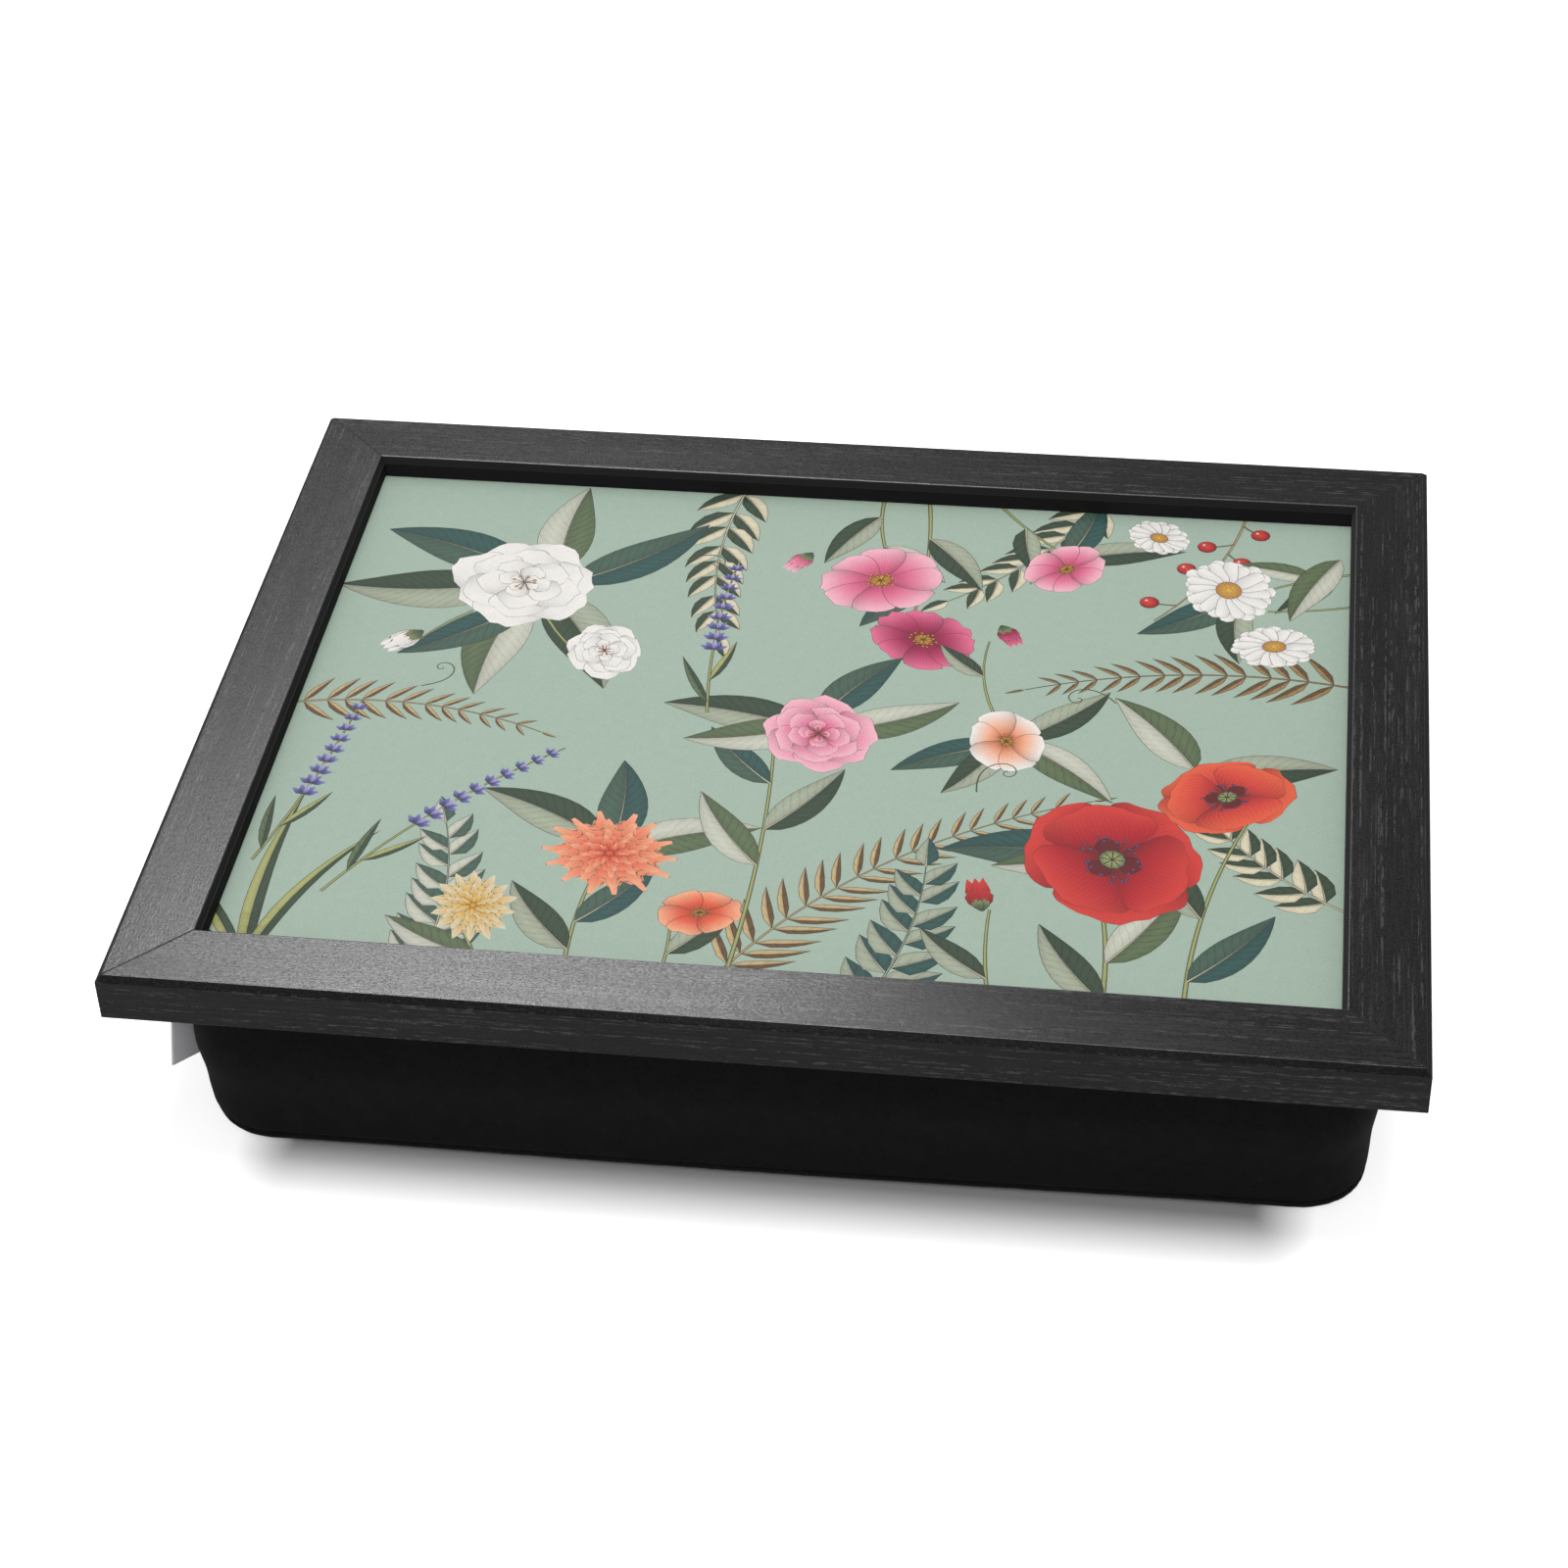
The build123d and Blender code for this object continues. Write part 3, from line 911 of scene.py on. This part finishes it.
def showing(points, quads):
    """Which quads show from above: each is painted, in order, on a fine grid."""
    low = points.min(0)
    grid = np.full(np.ceil((points.max(0) - low) / paint_step).astype(int) + 1, -1)
    painted = np.zeros(len(quads), bool)
    for index, quad in enumerate(points[quads]):
        first = ((quad.min(0) - low) / paint_step).astype(int)
        last = ((quad.max(0) - low) / paint_step).astype(int) + 1
        x = low[0] + paint_step * (np.arange(first[0], last[0])[:, None] + 0.5)
        y = low[1] + paint_step * (np.arange(first[1], last[1])[None] + 0.5)
        edges = zip(quad, np.roll(quad, -1, 0))
        sides = [(b[0] - a[0]) * (y - a[1]) - (b[1] - a[1]) * (x - a[0]) for a, b in edges]
        inside = (np.min(sides, 0) >= 0) | (np.max(sides, 0) <= 0)
        painted[index] = inside.any()
        grid[first[0]:last[0], first[1]:last[1]][inside] = index
    return ~painted | np.isin(np.arange(len(quads)), grid)


def unfolded(points, quads):
    """The quads that aren't folded, each turned anticlockwise."""
    edges = np.roll(points[quads], -1, 1) - points[quads]
    after = np.roll(edges, -1, 1)
    turns = edges[..., 0] * after[..., 1] - edges[..., 1] * after[..., 0]
    clockwise = (turns < 0).all(1)
    quads[clockwise] = quads[clockwise][:, ::-1]
    return quads[clockwise | (turns > 0).all(1)]


def cut_up(points, quads, low, high):
    """Cuts a rectangle into triangles along the quads' edges, tile by tile. Gives each triangle's
    corners, and the uppermost quad over it, or -1 on bare ground."""
    quad_low, quad_high = points[quads].min(1), points[quads].max(1)
    counts = np.ceil((high - low) / tile_size).astype(int)
    columns, rows = (np.linspace(low[k], high[k], counts[k] + 1) for k in (0, 1))
    corners, owners = [], []
    for x0, x1 in zip(columns, columns[1:]):
        for y0, y1 in zip(rows, rows[1:]):
            near = (quad_low < (x1, y1)) & (quad_high > (x0, y0))
            near = np.nonzero(near.all(1))[0]
            used, faces = np.unique(quads[near], return_inverse=True)
            faces = faces.reshape(-1, 4) + 4
            flat = [Vector(p) for p in ((x0, y0), (x1, y0), (x1, y1), (x0, y1), *points[used].tolist())]
            result = delaunay_2d_cdt(flat, [], [(0, 1, 2, 3), *faces.tolist()], 1, snap)
            places = np.array([v.to_tuple() for v in result[0]])
            for face, sources in zip(result[2], result[5]):
                if 0 in sources:
                    corners.append(places[list(face)])
                    owners.append(near[max(sources) - 1] if max(sources) else -1)
    return np.array(corners), np.array(owners)


def blend(quads, s, t):
    """What quads hold at their corners, blended for a place in each."""
    a, b, c, d = (quads[:, k] for k in range(4))
    return a * (1 - s) * (1 - t) + b * s * (1 - t) + c * s * t + d * (1 - s) * t


def ink_at(places, quad_points, quad_values):
    """The ink's values at places inside quads, found by solving for where in its quad each lies."""
    a, b, c, d = (quad_points[:, k] for k in range(4))
    s, t = np.full((2, len(places), 1), 0.5)
    for _ in range(solve_steps):
        miss = places - blend(quad_points, s, t)
        along = (b - a) * (1 - t) + (c - d) * t
        across = (d - a) * (1 - s) + (c - b) * s
        area = along[:, :1] * across[:, 1:] - along[:, 1:] * across[:, :1]
        area = np.where(np.abs(area) < tiny, tiny, area)
        s = np.clip(s + (miss[:, :1] * across[:, 1:] - miss[:, 1:] * across[:, :1]) / area, 0, 1)
        t = np.clip(t + (along[:, :1] * miss[:, 1:] - along[:, 1:] * miss[:, :1]) / area, 0, 1)
    return blend(quad_values, s, t)


def printed_sheet():
    """The printed sheet, closed, with its upper face cut along the artwork's outlines."""
    low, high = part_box("print_sheet")
    draw_print()
    points, values, quads = np.vstack(ink.points), np.vstack(ink.values), np.vstack(ink.quads)
    rect_low, rect_high = np.array(low.xy) / mm, np.array(high.xy) / mm
    reach = (points[quads].min(1) < rect_high) & (points[quads].max(1) > rect_low)
    quads = unfolded(points, quads[reach.all(1)])
    quads = quads[showing(points, quads)]
    corners, owners = cut_up(points, quads, rect_low, rect_high)
    a, b, c = (corners[:, k] for k in range(3))
    area = (b - a)[:, 0] * (c - a)[:, 1] - (b - a)[:, 1] * (c - a)[:, 0]
    corners[area < 0] = corners[area < 0][:, ::-1]
    owners, corners = owners[area != 0], corners[area != 0]
    places = corners.reshape(-1, 2)
    found = np.repeat(owners, 3)
    ground = np.array((*tint["sage"], 0, 0, far_inside))
    inked = np.tile(ground, (len(places), 1))
    on = found >= 0
    inked[on] = ink_at(places[on], points[quads[found[on]]], values[quads[found[on]]])
    mesh = bpy.data.meshes.new("printed_sheet")
    spots = np.column_stack((places * mm, np.full(len(places), high.z)))
    mesh.from_pydata(spots.tolist(), [], np.arange(len(places)).reshape(-1, 3).tolist())
    colour = mesh.attributes.new("ink", "FLOAT_COLOR", "CORNER")
    colour.data.foreach_set("color", np.column_stack((inked[:, :3], np.ones(len(inked)))).ravel())
    line = mesh.attributes.new("line", "FLOAT_VECTOR", "CORNER")
    line.data.foreach_set("vector", inked[:, 3:].ravel())
    chart = mesh.uv_layers.new(name=uv_name)
    share = (places - rect_low) / (rect_high - rect_low)
    chart.data.foreach_set("uv", (uv_margin + uv_span * share * (1, upper_share)).ravel())
    close_below(mesh, low.z, high)
    return link("printed_sheet", mesh)


def close_below(mesh, floor_z, high):
    """Welds the upper face's triangles, and adds the sheet's edges and its underside."""
    shell = bmesh.new()
    shell.from_mesh(mesh)
    bmesh.ops.remove_doubles(shell, verts=shell.verts, dist=sheet_weld)
    bmesh.ops.dissolve_degenerate(shell, dist=sheet_weld, edges=shell.edges)
    rim = [e for e in shell.edges if e.is_boundary and on_rim(e, high)]
    made = bmesh.ops.extrude_edge_only(shell, edges=rim)["geom"]
    for vert in (g for g in made if isinstance(g, bmesh.types.BMVert)):
        vert.co.z = floor_z
    lower = [g for g in made if isinstance(g, bmesh.types.BMEdge)]
    under = bmesh.ops.contextual_create(shell, geom=lower)["faces"]
    chart = shell.loops.layers.uv[uv_name]
    colour = shell.loops.layers.float_color["ink"]
    plain = (*tint["sage"], 1)
    for face in [g for g in made if isinstance(g, bmesh.types.BMFace)] + under:
        for loop in face.loops:
            loop[chart].uv = (uv_margin + uv_span * (loop.vert.co.x / high.x + 1) / 2, uv_span)
            loop[colour] = plain
    bmesh.ops.recalc_face_normals(shell, faces=shell.faces)
    shell.to_mesh(mesh)
    shell.free()


def on_rim(edge, high):
    """Whether an edge lies along the sheet's outer edge."""
    return any(all(abs(abs(v.co[k]) - high[k]) < weld for v in edge.verts) for k in (0, 1))


def print_ink():
    """Ink on a matt sheet: its colours, fine lines and outlines, over a faint canvas grain."""
    material, tree, shader = new_material("print_ink")
    here = own_place(tree)
    colour = add_node(tree, "ShaderNodeAttribute", attribute_name="ink").outputs["Color"]
    drawn = add_node(tree, "ShaderNodeAttribute", attribute_name="line").outputs["Vector"]
    phase, strength, inside = parts(tree, drawn)
    broken = noise(tree, here, broken_waves)
    turned = math_node(tree, "ADD", phase, product(tree, noise(tree, here, wobble_waves), wobble))
    ridge = apart(tree, math_node(tree, "FRACT", turned), 0.5)
    hatch = product(tree, ramp(tree, ridge, *hatch_width, 1.0, 0.0), ramp(tree, broken, *broken_levels))
    hatch = math_node(tree, "MULTIPLY", hatch, strength, clamp=True)
    deep = mix_colour(tree, 1.0, colour, mix_colour(tree, hatch_paleness, colour, grey(1.0)), "MULTIPLY")
    uneven = math_node(tree, "ADD", inside, product(tree, broken, ragged))
    outline = ramp(tree, uneven, *outline_width, outline_share, 0.0)
    base = mix_colour(tree, outline, mix_colour(tree, hatch, colour, deep), (*tint["outline"], 1))
    weave = noise(tree, here, canvas_waves)
    cloud = ramp(tree, noise(tree, here, cloud_waves, 3.0), *cloud_levels)
    grain = math_node(tree, "ADD", ramp(tree, weave, *canvas_levels), cloud)
    base = mix_colour(tree, 1.0, base, grain, "MULTIPLY")
    bump(tree, shader, weave, 0.25, 0.1 * mm)
    set_inputs(tree, shader, {"Base Color": base, "Roughness": 0.6, "Specular IOR Level": 0.15})
    return material


# Stage, light and camera

def stage_floor():
    """A white floor that keeps the object's shadow, and a painted contact shadow round the cushion where its
    glow is held back.
    """
    mesh = bpy.data.meshes.new("floor")
    signs = ((-1, -1), (1, -1), (1, 1), (-1, 1))
    corners = [(floor_half * x, floor_half * y, -floor_clear) for x, y in signs]
    mesh.from_pydata(corners, [], [(0, 1, 2, 3)])
    material, tree, shader = new_material("floor")
    set_inputs(tree, shader, {"Base Color": grey(floor_colour), "Roughness": 1.0, "Specular IOR Level": 0.0})
    path = add_node(tree, "ShaderNodeLightPath").outputs
    mirrored = largest(tree, path["Is Glossy Ray"], path["Is Transmission Ray"])
    # Painted shadow: the glow that the camera sees is held back near the cushion
    seen = product(tree, path["Is Camera Ray"], painted_shadow_glow(tree))
    glow = largest(tree, seen, product(tree, mirrored, mirrored_glow))
    light = add_node(tree, "ShaderNodeEmission", {"Color": grey(1.0), "Strength": glow})
    both = add_node(tree, "ShaderNodeAddShader", {0: shader.outputs[0], 1: light.outputs[0]})
    set_inputs(tree, tree.nodes["Material Output"], {"Surface": both.outputs[0]})
    mesh.materials.append(material)
    floor = link("floor", mesh)


def painted_shadow_glow(tree):
    """The floor's own light, held back near the cushion to paint a contact shadow, and coming up with the
    distance from it.
    """
    low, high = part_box("cover_base_panel")
    squares = 0.0
    for axis, value in enumerate(parts(tree, own_place(tree))[:2]):
        middle, half = (high[axis] + low[axis]) / 2, (high[axis] - low[axis]) / 2
        drawn_in, steepness = (0, 1) if axis else (shadow_ends, end_steepness)
        beyond = math_node(tree, "SUBTRACT", apart(tree, value, middle), half - drawn_in)
        beyond = product(tree, largest(tree, beyond, 0.0), steepness)
        squares = math_node(tree, "ADD", math_node(tree, "POWER", beyond, 2.0), squares)
    return ramp(tree, math_node(tree, "SQRT", squares), 0.0, shadow_reach, 0.0, floor_glow)


def direction(azimuth, elevation):
    """A unit vector towards a compass place: azimuth 0 is behind the object and 90 to its right."""
    a, e = math.radians(azimuth), math.radians(elevation)
    return Vector((math.sin(a) * math.cos(e), math.cos(a) * math.cos(e), math.sin(e)))


def area_light(name, azimuth, elevation, distance, size, power):
    """A soft lamp that faces the object. All but the top one show only in what reflects."""
    lamp = bpy.data.lights.new(name, "AREA")
    lamp.shape = "RECTANGLE"
    lamp.size, lamp.size_y = size
    lamp.energy = power
    made = link(name, lamp)
    towards = direction(azimuth, elevation)
    made.location = towards * distance
    made.rotation_euler = (-towards).to_track_quat("-Z", "Y").to_euler()
    made.visible_diffuse = name == "top_light"


def lights():
    """The lamps, and a world that is brighter behind the object."""
    for name, settings in lamps.items():
        area_light(name, **settings)
    world = bpy.context.scene.world or bpy.data.worlds.new("studio")
    bpy.context.scene.world = world
    world.use_nodes = True
    tree = world.node_tree
    way = add_node(tree, "ShaderNodeTexCoord").outputs["Generated"]
    level = ramp(tree, parts(tree, way)["Y"], -1.0, 1.0, world_front, world_back)
    set_inputs(tree, tree.nodes["Background"], {"Color": grey(1.0), "Strength": level})


def camera():
    """The camera where the photograph was taken from."""
    lens = bpy.data.cameras.new("camera")
    lens.sensor_width = sensor_mm
    lens.lens = focal_pixels / picture_pixels * lens.sensor_width
    made = link("camera", lens)
    a, r = math.radians(-camera_azimuth), math.radians(camera_roll)
    ahead = direction(-camera_azimuth, -camera_elevation)
    right = Vector((math.cos(a), -math.sin(a), 0))
    up = right.cross(ahead)
    across = math.cos(r) * right + math.sin(r) * up
    upright = -math.sin(r) * right + math.cos(r) * up
    turned = Matrix((across, upright, -ahead)).transposed().to_4x4()
    made.matrix_world = Matrix.Translation(camera_place) @ turned
    bpy.context.scene.camera = made


camera()
lights()
stage_floor()
bpy.context.scene.view_settings.view_transform = "Standard"

dress(wood_foil("foil_across", 0), "rail_front", "rail_back")
dress(wood_foil("foil_deep", 1), "rail_left", "rail_right")
dress(speckled("fibreboard", (0.20, 0.13, 0.075), (0.40, 0.28, 0.17), (900, 900, 900), 0.85), "tray_board")
dress(speckled("hooks", (0.004, 0.004, 0.005), (0.02, 0.02, 0.022), (700, 700, 700), 0.6), "hook_tapes")
dress(speckled("loops", (0.004, 0.004, 0.005), (0.016, 0.016, 0.018), (1200, 1200, 1200), 0.9), "loop_tapes")
steel = speckled("zinc", (0.42, 0.42, 0.44), (0.62, 0.62, 0.63), (400, 400, 2500), 0.35, 1.0, 0.02 * mm)
dress(steel, "corner_v_nails", "board_points")
dress(label_ribbon(), "side_label")

bag = cushion()
bag.data.materials.clear()
bag.data.materials.append(cover_cloth())
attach(bag, "root")
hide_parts("cover_base_panel", "cover_side_band", "cover_top_panel", "bead_fill")

sheet = printed_sheet()
sheet.data.materials.append(print_ink())
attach(sheet, "root")
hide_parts("print_sheet")
